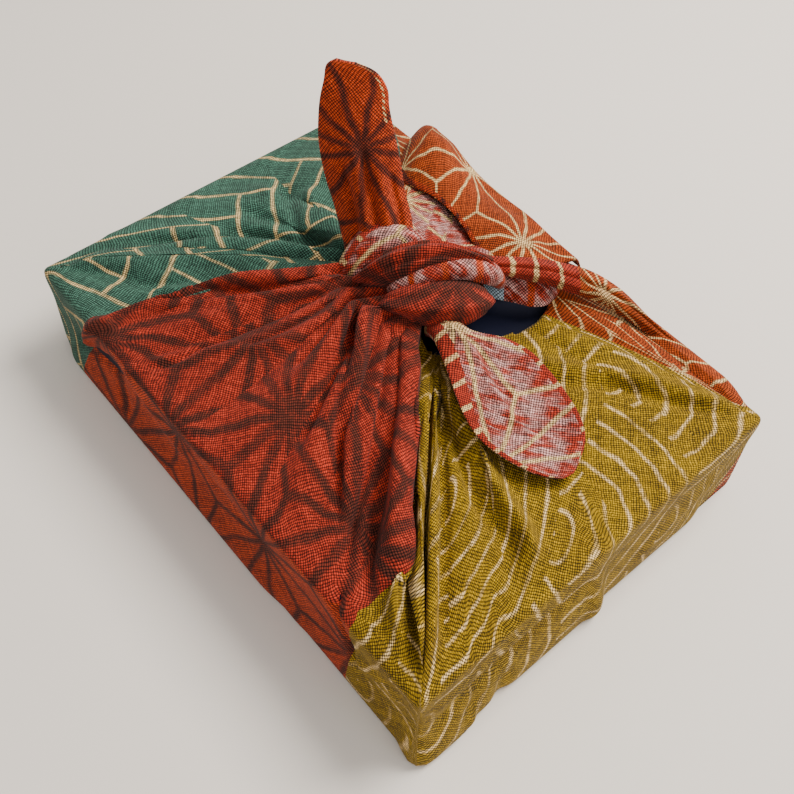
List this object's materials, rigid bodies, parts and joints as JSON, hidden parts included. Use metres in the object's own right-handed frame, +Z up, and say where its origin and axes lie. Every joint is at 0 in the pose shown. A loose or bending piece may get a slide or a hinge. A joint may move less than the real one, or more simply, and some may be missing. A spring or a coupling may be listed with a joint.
{
  "type": "furoshiki wrap with the box it holds",
  "caption": "Square printed cotton gauze cloth wrapped around a low box, its gathered corners knotted on top with two free ends.",
  "frame": {"origin": "middle of the underside of the wrapped box, on the surface that it rests on", "axes": "+Z up, +X along the long side of the box, -Y towards the long side in front of the knot"},
  "size_m": [0.24, 0.175, 0.1312],
  "materials": {
    "cloth": "open plain weave, matt, printed in red, orange, mustard and teal quarters",
    "box": "smooth dark navy"
  },
  "bodies": {
    "root": {"furoshiki": "cloth", "box": "box"}
  },
  "joints": []
}
